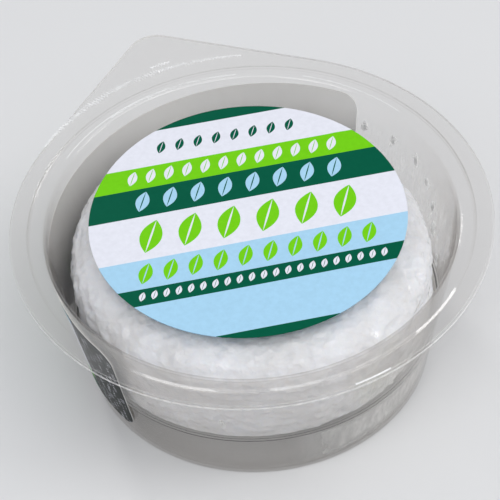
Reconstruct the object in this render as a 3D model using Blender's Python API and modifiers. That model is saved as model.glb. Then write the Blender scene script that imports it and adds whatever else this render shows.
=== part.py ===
"""A round fresh goat cheese in its sealed clear tub, in metres with +Z up.

The tub stands on its base ring at z = 0, and the peel corner of its flange points along +Y.
"""

import math

import bmesh
import bpy
from mathutils import Vector

# Driving dimensions of the tub
FLANGE_RADIUS = 0.0565
PEEL_CORNER_RADIUS = 0.0072
PEEL_CORNER_HALF_ANGLE = math.radians(39)
LIP_WIDTH = 0.0049
LIP_DROP = 0.0005
MOUTH_RADIUS = 0.0487
TUB_HEIGHT = 0.0432
BASE_RADIUS = 0.0420
WAIST_HEIGHT = 0.0150
WAIST_STEP = 0.00035
FLOOR_HEIGHT = 0.0132
FLOOR_RADIUS = 0.0400
BASE_ROUNDING = 0.0007
WALL = 0.0006

# Driving dimensions of the film, the labels and the cheese
FILM_THICKNESS = 0.0002
LABEL_THICKNESS = 0.00015
GAP = 0.0003
ROUND_LABEL_RADIUS = 0.0373
ROUND_LABEL_OFFSET = (-0.0008, -0.0003)
SIDE_LABEL_START = math.radians(34.5)
SIDE_LABEL_END = math.radians(205)
SIDE_LABEL_HEIGHT = 0.0308
SIDE_LABEL_BELOW_TOP = 0.0014
SIDE_LABEL_SLANT = 0.0058
SIDE_LABEL_CORNER = 0.0045
CHEESE_RADIUS = 0.0434
CHEESE_BOTTOM_RADIUS = 0.0422
CHEESE_TOP_BELOW_FLANGE = 0.0037
CHEESE_SHOULDER = 0.0092
CHEESE_FOOT_ROUNDING = 0.0020
CHEESE_OFFSET = (-0.0003, -0.0001)
CHEESE_LEAN = (-0.0006, -0.0003)
TORN_SHARE = 0.055
TORN_MIDDLE = math.radians(8)
TORN_HALF_ANGLE = math.radians(24)

# Steps round a turn, and along each rounded corner of a profile
TURN_STEPS = 72
CORNER_STEPS = 3
SHOULDER_STEPS = 6
LABEL_STEP = math.radians(4)
LABEL_CORNER_STEPS = 5

# The flange reaches further to +Y than to -Y, so the turning axis lies a little behind the middle
PEEL_CORNER_CENTRE = (FLANGE_RADIUS - PEEL_CORNER_RADIUS) / math.cos(PEEL_CORNER_HALF_ANGLE)
PEEL_TIP = PEEL_CORNER_CENTRE + PEEL_CORNER_RADIUS
AXIS_Y = (FLANGE_RADIUS - PEEL_TIP) / 2


def clear_scene():
    """Empties the scene that the script was opened in."""
    for item in list(bpy.data.objects):
        bpy.data.objects.remove(item, do_unlink=True)


def make_material(name, colour, roughness, see_through=0.0):
    """A plain Principled material, see_through being its share of passed light."""
    material = bpy.data.materials.new(name)
    material.use_nodes = True
    shader = material.node_tree.nodes["Principled BSDF"]
    shader.inputs["Base Color"].default_value = (*colour, 1.0)
    shader.inputs["Roughness"].default_value = roughness
    shader.inputs["Metallic"].default_value = 0.0
    shader.inputs["Transmission Weight"].default_value = see_through
    return material


def add_piece(name, mesh, material, location=(0.0, 0.0, 0.0)):
    """Puts a mesh in the scene as one named piece that rides on the tub's axis."""
    mesh.materials.append(material)
    piece = bpy.data.objects.new(name, mesh)
    pieces.objects.link(piece)
    piece.parent = axis
    piece.location = location
    return piece


def rounded(corners, steps=CORNER_STEPS):
    """Profile points through corners given as (radius from the axis, height, rounding)."""
    points = []
    for i, (r, z, rounding) in enumerate(corners):
        here = Vector((r, z))
        if rounding == 0:
            points.append(here)
            continue
        back = (Vector(corners[i - 1][:2]) - here).normalized()
        ahead = (Vector(corners[i + 1][:2]) - here).normalized()
        half = back.angle(ahead) / 2
        centre = here + (back + ahead).normalized() * (rounding / math.sin(half))
        start = here + back * (rounding / math.tan(half)) - centre
        end = here + ahead * (rounding / math.tan(half)) - centre
        first = math.atan2(start.y, start.x)
        turn = (math.atan2(end.y, end.x) - first + math.pi) % math.tau - math.pi
        for k in range(steps + 1):
            angle = first + turn * k / steps
            points.append(centre + Vector((math.cos(angle), math.sin(angle))) * rounding)
    return points


def turned(name, profile):
    """The mesh that a profile makes when it turns once round the Z axis."""
    line = bpy.data.meshes.new(name + "_profile")
    corners = [(p.x, 0.0, p.y) for p in profile]
    line.from_pydata(corners, [(i, i + 1) for i in range(len(corners) - 1)], [])
    guide = bpy.data.objects.new(name + "_profile", line)
    pieces.objects.link(guide)
    screw = guide.modifiers.new("Turn", "SCREW")
    screw.steps = TURN_STEPS
    screw.render_steps = TURN_STEPS
    screw.use_merge_vertices = True
    screw.merge_threshold = 0.00001
    screw.use_smooth_shade = True
    mesh = bpy.data.meshes.new_from_object(guide.evaluated_get(bpy.context.evaluated_depsgraph_get()))
    mesh.name = name
    bpy.data.objects.remove(guide, do_unlink=True)
    bpy.data.meshes.remove(line)
    return mesh


def draw_out_peel_corner(mesh):
    """Moves the outermost ring onto the hull of the flange circle and the small peel corner circle."""
    for vertex in mesh.vertices:
        radius = math.hypot(vertex.co.x, vertex.co.y)
        if radius < FLANGE_RADIUS - GAP:
            continue
        across = vertex.co.x / radius
        along = vertex.co.y / radius
        from_corner = math.atan2(abs(across), along)
        if from_corner < PEEL_CORNER_HALF_ANGLE + math.radians(0.5):
            vertex.co.x = across * PEEL_CORNER_RADIUS
            vertex.co.y = along * PEEL_CORNER_RADIUS + PEEL_CORNER_CENTRE


def thicken(piece, thickness, side):
    """Gives an open surface its thickness, to the back of its faces with side -1 and to the front with 1."""
    wall = piece.modifiers.new("Thickness", "SOLIDIFY")
    wall.thickness = thickness
    wall.offset = side
    wall.use_even_offset = True


def wall_radius(height):
    """Outer radius of the tub's tapered wall at a height above its waist."""
    return BASE_RADIUS + (MOUTH_RADIUS - BASE_RADIUS) * height / TUB_HEIGHT


def build_tub():
    """The clear tub: a flange with a peel corner, a tapered wall with a waist, a base ring and a raised floor."""
    under_flange = TUB_HEIGHT - WALL
    under_floor = FLOOR_HEIGHT - WALL
    step_width = LIP_DROP
    profile = rounded([
        (FLANGE_RADIUS, under_flange - LIP_DROP, 0),
        (FLANGE_RADIUS - LIP_WIDTH + step_width, under_flange - LIP_DROP, 0),
        (FLANGE_RADIUS - LIP_WIDTH, under_flange, 0),
        (MOUTH_RADIUS, under_flange, 0.0010),
        (wall_radius(WAIST_HEIGHT), WAIST_HEIGHT, 0),
        (wall_radius(WAIST_HEIGHT) - WAIST_STEP, WAIST_HEIGHT - WAIST_STEP, 0),
        (BASE_RADIUS, 0, BASE_ROUNDING),
        (FLOOR_RADIUS, 0, BASE_ROUNDING),
        (FLOOR_RADIUS, under_floor, 0.0010),
        (0, under_floor, 0),
    ])
    mesh = turned("tub", profile)
    draw_out_peel_corner(mesh)
    tub = add_piece("tub", mesh, clear_plastic)
    thicken(tub, WALL, -1)


def build_film():
    """The clear film that is sealed on the flange and cut to the same outline."""
    film_top = TUB_HEIGHT + GAP + FILM_THICKNESS
    step_start = FLANGE_RADIUS - LIP_WIDTH + 2 * GAP
    profile = rounded([
        (0, film_top, 0),
        (step_start, film_top, 0),
        (step_start + LIP_DROP, film_top - LIP_DROP, 0),
        (FLANGE_RADIUS, film_top - LIP_DROP, 0),
    ])
    mesh = turned("lid_film", profile)
    draw_out_peel_corner(mesh)
    film = add_piece("lid_film", mesh, clear_film)
    thicken(film, FILM_THICKNESS, -1)


def build_round_label():
    """The printed disc stuck on the film."""
    form = bmesh.new()
    bmesh.ops.create_cone(
        form,
        cap_ends=True,
        segments=TURN_STEPS,
        radius1=ROUND_LABEL_RADIUS,
        radius2=ROUND_LABEL_RADIUS,
        depth=LABEL_THICKNESS,
    )
    mesh = bpy.data.meshes.new("top_label")
    form.to_mesh(mesh)
    form.free()
    height = TUB_HEIGHT + GAP + FILM_THICKNESS + GAP + LABEL_THICKNESS / 2
    add_piece("top_label", mesh, printed_paper, (*ROUND_LABEL_OFFSET, height))


def side_label_columns():
    """Angles along the side label, each with what its rounded corners cut off the top and the bottom there."""
    corner_angle = SIDE_LABEL_CORNER / MOUTH_RADIUS
    columns = []
    for k in range(LABEL_CORNER_STEPS + 1):
        turn = math.radians(90) * k / LABEL_CORNER_STEPS
        along = corner_angle * (1 - math.cos(turn))
        cut = SIDE_LABEL_CORNER * (1 - math.sin(turn))
        columns.append((along, cut))
    inner = SIDE_LABEL_END - SIDE_LABEL_START - 2 * corner_angle
    count = math.ceil(inner / LABEL_STEP)
    angles = [(SIDE_LABEL_START + along, cut) for along, cut in columns]
    angles += [(SIDE_LABEL_START + corner_angle + inner * k / count, 0.0) for k in range(1, count)]
    angles += [(SIDE_LABEL_END - along, cut) for along, cut in reversed(columns)]
    return angles


def build_side_label():
    """The paper band stuck a little aslant round the outside of the wall, its left end lower than its right."""
    form = bmesh.new()
    last = None
    for angle, cut in side_label_columns():
        share = (angle - SIDE_LABEL_START) / (SIDE_LABEL_END - SIDE_LABEL_START)
        top = TUB_HEIGHT - SIDE_LABEL_BELOW_TOP - SIDE_LABEL_SLANT * share
        column = []
        for height in (top - cut, top - SIDE_LABEL_HEIGHT + cut):
            radius = wall_radius(height) + GAP
            column.append(form.verts.new((radius * math.cos(angle), radius * math.sin(angle), height)))
        if last:
            form.faces.new((last[0], last[1], column[1], column[0]))
        last = column
    mesh = bpy.data.meshes.new("side_label")
    form.to_mesh(mesh)
    form.free()
    mesh.shade_smooth()
    label = add_piece("side_label", mesh, white_paper)
    thicken(label, LABEL_THICKNESS, 1)


def settle_curd(mesh, foot):
    """Gives the turned cheese a slight lean, the low swells of settled curd and a torn flat on its right side."""
    top = TUB_HEIGHT - CHEESE_TOP_BELOW_FLANGE
    for vertex in mesh.vertices:
        around = math.atan2(vertex.co.y, vertex.co.x)
        outward = math.hypot(vertex.co.x, vertex.co.y) / CHEESE_RADIUS
        upward = (vertex.co.z - foot) / (top - foot)
        swell = 0.008 * math.sin(3 * around + 0.6) + 0.005 * math.sin(5 * around + 2.1 + 2 * upward)
        swell += 0.004 * math.sin(8 * around + 1.0)
        swell -= TORN_SHARE * math.exp(-((around - TORN_MIDDLE) / TORN_HALF_ANGLE) ** 2)
        vertex.co.x *= 1 + swell * upward
        vertex.co.y *= 1 + swell * upward
        vertex.co.x += CHEESE_LEAN[0] * upward
        vertex.co.y += CHEESE_LEAN[1] * upward
        dish = 0.0005 * math.sin(2 * around + 0.9) * outward + 0.0003 * math.sin(5 * around) * outward
        vertex.co.z += dish * upward


def build_cheese():
    """The white cheese that stands on the raised floor, clear of the wall and the film."""
    foot = FLOOR_HEIGHT + GAP
    top = TUB_HEIGHT - CHEESE_TOP_BELOW_FLANGE
    shoulder = rounded([(0, top, 0), (CHEESE_RADIUS, top, CHEESE_SHOULDER), (CHEESE_BOTTOM_RADIUS, foot, 0)],
                       SHOULDER_STEPS)
    heel = rounded([(CHEESE_RADIUS, top, 0), (CHEESE_BOTTOM_RADIUS, foot, CHEESE_FOOT_ROUNDING), (0, foot, 0)])
    on_top = Vector((shoulder[1].x / 2, top))
    on_side = shoulder[-2].lerp(heel[1], 0.5)
    mesh = turned("cheese", [shoulder[0], on_top] + shoulder[1:-1] + [on_side] + heel[1:])
    settle_curd(mesh, foot)
    add_piece("cheese", mesh, white_curd, (*CHEESE_OFFSET, 0.0))


clear_scene()
pieces = bpy.data.collections.new("goat_cheese_pack")
bpy.context.scene.collection.children.link(pieces)
axis = bpy.data.objects.new("tub_axis", None)
axis.location = (0.0, AXIS_Y, 0.0)
pieces.objects.link(axis)

clear_plastic = make_material("clear_plastic", (0.90, 0.89, 0.87), 0.08, 1.0)
clear_film = make_material("clear_film", (0.93, 0.93, 0.92), 0.10, 1.0)
printed_paper = make_material("printed_paper", (0.55, 0.78, 0.60), 0.35)
white_paper = make_material("white_paper", (0.80, 0.80, 0.77), 0.55)
white_curd = make_material("white_curd", (0.88, 0.87, 0.84), 0.45)

build_tub()
build_film()
build_round_label()
build_side_label()
build_cheese()
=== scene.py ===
# %% [markdown]
# # A goat cheese in its sealed clear tub
#
# The real thing is a white fresh cheese that stands on the raised floor of a thin clear tub.
# A clear film is sealed over the flange, with a round striped label on top of it, and a paper
# label runs round the outside of the back wall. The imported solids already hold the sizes, so
# this lesson takes them as a frame and dresses them: thin shells for the plastic, curd relief
# for the cheese, print for the labels, and crumbs and whey where they collect.

# %% Load the fixed frame
import math

import bmesh
import bpy
from mathutils import Matrix, Vector


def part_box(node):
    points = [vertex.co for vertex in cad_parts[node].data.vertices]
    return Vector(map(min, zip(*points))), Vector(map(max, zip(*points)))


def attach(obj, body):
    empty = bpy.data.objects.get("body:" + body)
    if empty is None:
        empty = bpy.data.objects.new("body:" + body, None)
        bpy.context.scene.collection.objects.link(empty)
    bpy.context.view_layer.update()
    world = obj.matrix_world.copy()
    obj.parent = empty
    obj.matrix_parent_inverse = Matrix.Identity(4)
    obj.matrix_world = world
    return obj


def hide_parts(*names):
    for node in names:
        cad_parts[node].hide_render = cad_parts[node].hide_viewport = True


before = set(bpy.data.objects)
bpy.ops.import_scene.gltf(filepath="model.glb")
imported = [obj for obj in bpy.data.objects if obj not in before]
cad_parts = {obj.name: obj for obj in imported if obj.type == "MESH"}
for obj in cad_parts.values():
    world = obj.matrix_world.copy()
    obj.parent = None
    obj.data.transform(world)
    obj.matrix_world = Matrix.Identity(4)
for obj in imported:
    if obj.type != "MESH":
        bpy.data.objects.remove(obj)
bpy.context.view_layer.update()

# %% [markdown]
# ## Sizes
#
# Everything that turns does so round one upright axis. The flange reaches further back than
# forward, because of its peel corner, so the axis isn't in the middle of the box. It lies one
# flange radius behind the front edge. The other values are the maker's own sizes of the tub,
# the same ones that the solids were built from.

# %% Sizes read from the frame, and the tub's named sizes
tub_low, tub_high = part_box("tub")
film_low, film_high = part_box("lid_film")
label_low, label_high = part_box("top_label")
side_low, side_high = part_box("side_label")

FLANGE_RADIUS = (tub_high.x - tub_low.x) / 2
AXIS = Vector((0.0, tub_low.y + FLANGE_RADIUS, 0.0))
TUB_TOP = tub_high.z
PEEL_HALF_ANGLE = math.radians(39)
PEEL_RADIUS = 0.0072
PEEL_CENTRE = tub_high.y - AXIS.y - PEEL_RADIUS
LIP_WIDTH = 0.0049
LIP_DROP = 0.0005
MOUTH_RADIUS = 0.0487
BASE_RADIUS = 0.0420
WALL_SLOPE = (MOUTH_RADIUS - BASE_RADIUS) / TUB_TOP
WAIST_HEIGHT = 0.0150
WAIST_STEP = 0.00035
FLOOR_HEIGHT = 0.0132
FLOOR_RADIUS = 0.0400
BASE_ROUNDING = 0.0007
WALL = 0.0006
FILM = film_high.z - film_low.z - LIP_DROP
print("flange radius %.1f mm, axis at y %.2f mm" % (FLANGE_RADIUS * 1000, AXIS.y * 1000))


def wall_radius(height):
    """Outer radius of the tapered wall at a height above the waist."""
    return BASE_RADIUS + WALL_SLOPE * height


def wall_point(angle, height, off):
    """The point at an angle and a height, off metres outside the wall's outer side."""
    radius = wall_radius(height) + off
    return radius * math.cos(angle), radius * math.sin(angle), height


# %% [markdown]
# ## The camera
#
# The photograph looks down at about 47 degrees with a long lens, from the left of the peel
# corner, and it's tilted a little clockwise. A long lens keeps the far rim nearly as wide as
# the near one. The camera comes first, so that each piece can be judged as soon as it's made.

# %% Stand the camera where the photograph was taken
CAMERA_TURN = math.radians(-19)
CAMERA_ELEVATION = math.radians(47.14)
CAMERA_ROLL = math.radians(-4.66)
CAMERA_DISTANCE = 0.5173
CAMERA_AIM = Vector((-0.00076, 0.02931, 0.0))
CAMERA_LENS = 144.0
NEAREST_SEEN = 0.01


def add_object(name, data):
    """A new object in the scene that shows the data."""
    thing = bpy.data.objects.new(name, data)
    bpy.context.scene.collection.objects.link(thing)
    return thing


camera_data = bpy.data.cameras.new("camera")
camera_data.lens = CAMERA_LENS
camera_data.clip_start = NEAREST_SEEN
camera = add_object("camera", camera_data)
bpy.context.scene.camera = camera

turn = Matrix.Rotation(CAMERA_TURN, 3, "Z")
outward = turn @ Vector((0.0, -math.cos(CAMERA_ELEVATION), math.sin(CAMERA_ELEVATION)))
camera.location = AXIS + turn @ CAMERA_AIM + outward * CAMERA_DISTANCE
look = (-outward).to_track_quat("-Z", "Y").to_matrix()
camera.rotation_euler = (look @ Matrix.Rotation(CAMERA_ROLL, 3, "Z")).to_euler()
print("camera at", [round(c, 3) for c in camera.location])

# %% [markdown]
# ## Helpers for node trees
#
# Materials and shapes are both built from nodes here. A few small helpers keep that readable:
# each adds one node and hands back its output, ready to go into the next node. A value or
# another node's output can go into any input, and a colour is given as three numbers.


# %% Node helpers
def add_node(tree, kind, inputs=None, **options):
    """Adds a node. inputs maps a socket's name or number to a value or another node's output."""
    node = tree.nodes.new(kind)
    for option, value in options.items():
        setattr(node, option, value)
    for socket, value in (inputs or {}).items():
        target = node.inputs[socket]
        if isinstance(value, bpy.types.NodeSocket):
            tree.links.new(value, target)
        else:
            target.default_value = (*value, 1.0) if target.type == "RGBA" else value
    return node


def output_of(tree, kind, inputs=None, **options):
    """The first output of a new node."""
    return add_node(tree, kind, inputs, **options).outputs[0]


def maths(tree, operation, *values):
    """The output of a Math node."""
    return output_of(tree, "ShaderNodeMath", dict(enumerate(values)), operation=operation)


def product(tree, *values):
    """The values multiplied together, from the first one on."""
    result = values[0]
    for value in values[1:]:
        result = maths(tree, "MULTIPLY", result, value)
    return result


def split(tree, vector):
    """The outputs X, Y and Z of a vector."""
    return add_node(tree, "ShaderNodeSeparateXYZ", {0: vector}).outputs


def combine(tree, **parts):
    """A vector from its parts X, Y and Z."""
    return output_of(tree, "ShaderNodeCombineXYZ", parts)


def scaled(tree, vector, share):
    """The vector made longer or shorter."""
    inputs = {0: vector, "Scale": share}
    return output_of(tree, "ShaderNodeVectorMath", inputs, operation="SCALE")


def noise(tree, scale, detail, **inputs):
    """The grey value of a Noise Texture, with its scale in cells per metre."""
    return output_of(tree, "ShaderNodeTexNoise", {"Scale": scale, "Detail": detail, **inputs})


def remap(tree, value, low, high, to_low=0.0, to_high=1.0):
    """The value moved from one range to another, and kept inside it."""
    return output_of(tree, "ShaderNodeMapRange", {
        "Value": value, "From Min": low, "From Max": high, "To Min": to_low, "To Max": to_high})


print("node helpers ready")

# %% [markdown]
# Every material starts from Object coordinates, so a pattern keeps its place and its size on the
# piece. A few more helpers mix colours and shaders, and raise a relief from a grey value.

# %% Material helpers
WHITE = (1.0, 1.0, 1.0)


def new_material(name):
    """An empty node material, its tree, and the Object coordinates."""
    material = bpy.data.materials.new(name)
    material.use_nodes = True
    material.node_tree.nodes.clear()
    place_in = add_node(material.node_tree, "ShaderNodeTexCoord").outputs["Object"]
    return material, material.node_tree, place_in


def finish_material(material, surface):
    """Gives the material its surface."""
    add_node(material.node_tree, "ShaderNodeOutputMaterial", {"Surface": surface})
    return material


def shader(tree, kind, inputs):
    """The output of a shader."""
    return output_of(tree, "ShaderNodeBsdf" + kind, inputs)


def mix_shaders(tree, share, first, second):
    """Goes from the first shader to the second as share grows."""
    return output_of(tree, "ShaderNodeMixShader", {0: share, 1: first, 2: second})


def blend_colours(tree, share, first, second, how="MIX"):
    """Goes from the first colour to the second as share grows."""
    inputs = {0: share, 6: first, 7: second}
    return add_node(
        tree, "ShaderNodeMix", inputs, data_type="RGBA", blend_type=how).outputs[2]


def bump(tree, height, distance):
    """A relief that is distance metres high where the grey value is 1."""
    return output_of(tree, "ShaderNodeBump", {"Height": height, "Distance": distance})


print("material helpers ready")

# %% [markdown]
# ## From a tree to a plain mesh
#
# A Geometry Nodes modifier is handy while a piece is being made, and in the way afterwards.
# So each piece is evaluated once and kept as a plain mesh, with its place in the mesh and its
# object at the origin. The same function works for Solidify, which gives a shell its wall.

# %% Helpers that build trees, run modifiers and keep the result
SHARP_FROM = math.radians(50)


def new_shape_tree(name, **titles):
    """A Geometry Nodes tree and its inputs, whose titles are given by type."""
    tree = bpy.data.node_groups.new(name, "GeometryNodeTree")
    tree.interface.new_socket("Geometry", in_out="OUTPUT", socket_type="NodeSocketGeometry")
    for kind, names in {"Geometry": ["Geometry"], **titles, "Material": ["Material"]}.items():
        for title in names:
            tree.interface.new_socket(title, in_out="INPUT", socket_type="NodeSocket" + kind)
    return tree, tree.nodes.new("NodeGroupInput").outputs


def finish_shape(tree, geometry, material, smooth=True):
    """Shades the geometry, makes its instances real and gives it its material."""
    shaded = output_of(tree, "GeometryNodeSetShadeSmooth", {
        "Geometry": geometry, "Shade Smooth": smooth})
    real = output_of(tree, "GeometryNodeRealizeInstances", {"Geometry": shaded})
    made = output_of(tree, "GeometryNodeSetMaterial", {"Geometry": real, "Material": material})
    add_node(tree, "NodeGroupOutput", {"Geometry": made})
    print("tree to %s has %d nodes" % (tree.name, len(tree.nodes)))
    return tree


def set_inputs(modifier, **values):
    """Sets a tree's named inputs, which the modifier knows by identifier."""
    for item in modifier.node_group.interface.items_tree:
        key = item.name.replace(" ", "_").lower()
        if item.item_type == "SOCKET" and item.in_out == "INPUT" and key in values:
            modifier[item.identifier] = values[key]


def keep_result(piece):
    """Replaces the piece by a plain mesh of what its modifiers make of it."""
    graph = bpy.context.evaluated_depsgraph_get()
    mesh = bpy.data.meshes.new_from_object(piece.evaluated_get(graph))
    name = piece.name
    bpy.data.objects.remove(piece, do_unlink=True)
    mesh.name = name
    return add_object(name, mesh)


def through_tree(name, data, tree, **values):
    """Runs data through a tree and keeps the mesh that comes out."""
    piece = add_object(name, data)
    modifier = piece.modifiers.new("Shape", "NODES")
    modifier.node_group = tree
    set_inputs(modifier, **values)
    return keep_result(piece)


def give_wall(piece, thickness, edge_material, edge_and_back=False):
    """Thickens an open surface to the back of its faces, with its own finish on the cut edge."""
    piece.data.materials.append(edge_material)
    wall = piece.modifiers.new("Wall", "SOLIDIFY")
    wall.thickness = thickness
    wall.offset = -1
    wall.use_even_offset = True
    wall.material_offset_rim = 1
    wall.material_offset = 1 if edge_and_back else 0
    return keep_result(piece)


def place(piece, offset=AXIS):
    """Moves the mesh itself, so that the object stays at the origin."""
    piece.data.transform(Matrix.Translation(offset))
    piece.data.set_sharp_from_angle(angle=SHARP_FROM)
    return piece


def open_sheet(name, columns, material):
    """A smooth open surface through columns of points, which are all equally long."""
    form = bmesh.new()
    rows = [[form.verts.new(point) for point in column] for column in columns]
    for first, second in zip(rows, rows[1:]):
        for k in range(len(first) - 1):
            form.faces.new((first[k], first[k + 1], second[k + 1], second[k])).smooth = True
    mesh = bpy.data.meshes.new(name)
    form.to_mesh(mesh)
    form.free()
    mesh.materials.append(material)
    return add_object(name, mesh)


print("shape helpers ready")

# %% [markdown]
# ## Clear plastic
#
# Thin clear plastic hardly bends what is behind it, so it needs no refraction: light either
# passes straight through, a little tinted, or is mirrored. How much is mirrored grows towards
# the edge of a curve, as on any clear sheet. Layer Weight gives the angle, and its fifth power
# is close to the real share. The tint grows with the angle too, because a slanted ray has more
# plastic to cross. Faint waves in the surface break the reflections, as thermoformed sheet does.
#
# Cycles follows a ray through only eight see-through surfaces, and this pack has more of them
# one behind the other. So for rays on their way from the eye, which Light Path tells apart, the
# same colour passes through a Refraction shader with an index of 1, which bends nothing and
# isn't counted among the eight. Rays from the lights still meet the plain Transparent shader.

# %% Clear plastic for the tub and the film
BEND_HALF_WIDTH = 0.00017
BEND_HEIGHT = WAIST_HEIGHT + BEND_HALF_WIDTH
# Colour of the painted shade line at the waist bend, which stands in for the darkening that
# refraction gives there
PAINTED_BEND_SHADE = (0.30, 0.29, 0.28)
MIRRORED_HEAD_ON = 0.035
MIRROR_POWER = 5.0
TINT_POWER = 3.5
SMUDGES_PER_METRE = 90.0


def let_through(tree, colour):
    """A shader that lets a ray pass straight on with the colour's share of its light."""
    ray = add_node(tree, "ShaderNodeLightPath").outputs
    plain = shader(tree, "Transparent", {"Color": colour})
    unbent = shader(tree, "Refraction", {"Color": colour, "Roughness": 0.0, "IOR": 1.0})
    later = mix_shaders(tree, ray["Is Transmission Ray"], plain, unbent)
    return mix_shaders(tree, ray["Is Camera Ray"], later, unbent)


def clear_plastic(name, tint, slanted, roughness, wave_scale, wave_height, bend_height=-1.0):
    """Thin see-through sheet, with its tint head on and slanted, and a dark line of painted shade
    at a bend.
    """
    material, tree, place_in = new_material(name)
    waves = bump(tree, noise(tree, wave_scale, 3.0, Vector=place_in), wave_height)
    weight = add_node(tree, "ShaderNodeLayerWeight", {"Blend": 0.5, "Normal": waves})
    slant = weight.outputs["Facing"]
    smudge = noise(tree, SMUDGES_PER_METRE, 4.0, Vector=place_in)
    rough = remap(tree, smudge, 0.35, 0.75, roughness, roughness * 2.2)
    mirrored = maths(
        tree, "MULTIPLY_ADD", maths(tree, "POWER", slant, MIRROR_POWER),
        1.0 - MIRRORED_HEAD_ON, MIRRORED_HEAD_ON)
    # Painted shade: a dark line round the bend, in place of the darkening that refraction gives the
    # real plastic there
    bend = maths(tree, "COMPARE", split(tree, place_in)["Z"], bend_height, BEND_HALF_WIDTH)
    colour = blend_colours(tree, maths(tree, "POWER", slant, TINT_POWER), tint, slanted)
    colour = blend_colours(tree, bend, colour, PAINTED_BEND_SHADE)
    mirror = shader(tree, "Anisotropic", {"Color": WHITE, "Roughness": rough, "Normal": waves})
    return finish_material(
        material, mix_shaders(tree, mirrored, let_through(tree, colour), mirror))


tub_plastic = clear_plastic(
    "tub plastic", (0.993, 0.990, 0.986), (0.62, 0.58, 0.54), 0.05, 60.0, 0.00025, BEND_HEIGHT)
film_plastic = clear_plastic(
    "film plastic", (0.992, 0.990, 0.988), (0.80, 0.78, 0.76), 0.04, 45.0, 0.0001)
print("clear finishes:", tub_plastic.name, "and", film_plastic.name)

# %% [markdown]
# A cut edge of clear plastic catches the light and looks like a pale frosted line. It gets its
# own finish, half see-through and half white, which Solidify puts on the rim of each shell.

# %% The frosted cut edge
FROST_SPREAD = 0.15
FROST_GRAINS_PER_METRE = 700.0
FROST_TINT = (0.95, 0.94, 0.93)


def frosted_plastic(name, colour, see_through, roughness=0.25):
    """A pale scattering plastic, see_through being the share of light that passes."""
    material, tree, place_in = new_material(name)
    grains = noise(tree, FROST_GRAINS_PER_METRE, 2.0, Vector=place_in)
    share = remap(tree, grains, 0.3, 0.7, see_through - FROST_SPREAD, see_through + FROST_SPREAD)
    body = shader(tree, "Principled", {"Base Color": colour, "Roughness": roughness})
    through = shader(tree, "Transparent", {"Color": FROST_TINT})
    return finish_material(material, mix_shaders(tree, share, body, through))


cut_edge = frosted_plastic("cut edge", (0.93, 0.92, 0.90), 0.45)
print("edge finish:", cut_edge.name)

# %% [markdown]
# ## A tree that turns a profile
#
# Tub, film, label and cheese are all turned shapes, so one Geometry Nodes tree makes them all.
# Its input is a flat profile curve whose points carry a rounding in their radius. Fillet Curve
# rounds those corners. A grid then has one column for each step round the axis and one row for
# each profile point: every grid point looks up its profile point by index and turns it by its
# column's angle. Merge by Distance closes the seam and the middle.
#
# The peel corner needs only the outermost ring. The outline is the hull of two circles, the
# big flange and a small one at the corner, so the part of the ring that faces the corner
# jumps to the small circle, and straight edges join the two.

# %% Build the turning tree
AROUND = 288
MERGE_WITHIN = 0.000004
RIM_TOLERANCE = 0.0001
ANGLE_TOLERANCE = 0.001


def build_turning_tree():
    """Turns a profile round Z, and draws the outermost ring out to a corner on +Y."""
    tree, value = new_shape_tree(
        "turn a profile", Int=("Around", "Corner steps", "Rows"),
        Float=("Rim radius", "Peel radius", "Peel centre", "Peel half angle"))
    rounded = output_of(tree, "GeometryNodeFilletCurve", {
        "Curve": value["Geometry"], "Count": value["Corner steps"], "Limit Radius": True,
        "Radius": output_of(tree, "GeometryNodeInputRadius")}, mode="POLY")
    even = output_of(tree, "GeometryNodeResampleCurve", {
        "Curve": rounded, "Count": value["Rows"]})
    wants_rows = output_of(tree, "FunctionNodeCompare", {"A": value["Rows"], "B": 1},
                           data_type="INT", operation="GREATER_THAN")
    profile = output_of(tree, "GeometryNodeSwitch", {
        "Switch": wants_rows, "False": rounded, "True": even}, input_type="GEOMETRY")
    rows = output_of(tree, "GeometryNodeAttributeDomainSize", {"Geometry": profile},
                     component="CURVE")
    grid = output_of(tree, "GeometryNodeMeshGrid", {
        "Vertices X": maths(tree, "ADD", value["Around"], 1.0), "Vertices Y": rows})

    index = output_of(tree, "GeometryNodeInputIndex")
    row = maths(tree, "MODULO", index, rows)
    column = maths(tree, "FLOOR", maths(tree, "DIVIDE", maths(tree, "ADD", index, 0.5), rows))
    angle = product(tree, maths(tree, "DIVIDE", column, value["Around"]), math.tau)
    here = output_of(tree, "GeometryNodeInputPosition")
    looked_up = output_of(tree, "GeometryNodeSampleIndex", {
        "Geometry": profile, "Value": here, "Index": row},
        data_type="FLOAT_VECTOR", domain="POINT")
    parts = split(tree, looked_up)
    across = maths(tree, "COSINE", angle)
    along = maths(tree, "SINE", angle)
    plain = combine(tree, X=product(tree, across, parts["X"]),
                    Y=product(tree, along, parts["X"]), Z=parts["Z"])
    peel = value["Peel radius"]
    drawn_out = combine(tree, X=product(tree, across, peel),
                        Y=maths(tree, "MULTIPLY_ADD", along, peel, value["Peel centre"]),
                        Z=parts["Z"])
    just_inside = maths(tree, "SUBTRACT", value["Rim radius"], RIM_TOLERANCE)
    is_rim = maths(tree, "GREATER_THAN", parts["X"], just_inside)
    nearness = maths(
        tree, "COSINE", maths(tree, "ADD", value["Peel half angle"], ANGLE_TOLERANCE))
    faces_corner = maths(tree, "GREATER_THAN", along, nearness)
    chosen = output_of(tree, "GeometryNodeSwitch", {
        "Switch": product(tree, is_rim, faces_corner), "False": plain, "True": drawn_out},
        input_type="VECTOR")

    moved = output_of(tree, "GeometryNodeSetPosition", {"Geometry": grid, "Position": chosen})
    closed = output_of(tree, "GeometryNodeMergeByDistance", {
        "Geometry": moved, "Distance": MERGE_WITHIN})
    flipped = output_of(tree, "GeometryNodeFlipFaces", {"Mesh": closed})
    return finish_shape(tree, flipped, value["Material"])


turning_tree = build_turning_tree()


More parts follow.
